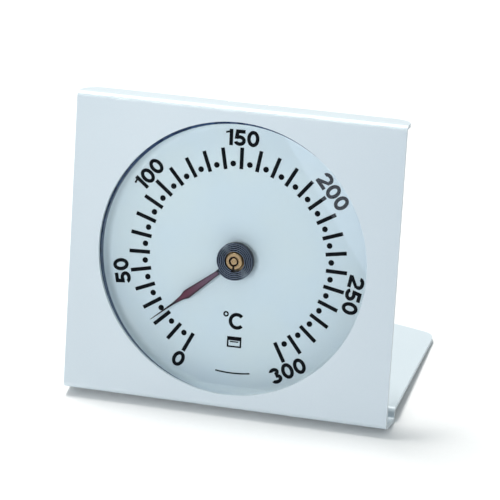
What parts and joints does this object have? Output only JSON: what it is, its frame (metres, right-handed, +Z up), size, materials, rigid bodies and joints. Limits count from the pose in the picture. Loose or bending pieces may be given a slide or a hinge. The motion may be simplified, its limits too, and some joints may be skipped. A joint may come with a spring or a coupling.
{
  "type": "oven thermometer",
  "caption": "Small bimetal dial thermometer, 0 to 300 degrees Celsius, behind a round window in a folded sheet-metal stand that leans back on a foot plate.",
  "frame": {"origin": "middle of the footprint, on the shelf that the stand rests on", "axes": "+Z up, the dial faces -Y and leans back, +X towards the viewer's right"},
  "size_m": [0.07, 0.0484, 0.0626],
  "materials": {
    "stand_lacquer": "satin lacquer",
    "case_metal": "drawn",
    "lens_glass": "polished",
    "polished_ring": "polished",
    "dial_paint": "satin paint",
    "ink": "matt print",
    "brass": "turned",
    "washer_steel": "plain",
    "bimetal": "blued",
    "pointer_lacquer": "satin lacquer",
    "solder": "bright"
  },
  "bodies": {
    "body": {"stand_frame": "stand_lacquer", "rear_case": "case_metal", "front_lens": "lens_glass", "spacer_ring": "polished_ring", "dial_plate": "dial_paint", "scale_bars": "ink", "scale_dots": "ink", "scale_numerals": "ink", "unit_mark": "ink", "oven_symbol": "ink", "footer_line": "ink", "centre_bush": "brass", "centre_pin": "brass", "rear_washer": "washer_steel", "bimetal_coil": "bimetal"},
    "pointer": {"pointer": "pointer_lacquer", "solder_joint": "solder"}
  },
  "joints": [
    {"name": "pointer_turn", "type": "hinge", "parent": "body", "child": "pointer", "pos_m": [0, -0.01104, 0.03017], "axis": [0, 0.9627, -0.2705], "range_deg": [-23.35, 281.16], "stiffness_Nm_per_rad": 0.0017, "deforming": ["bimetal_coil"]}
  ]
}
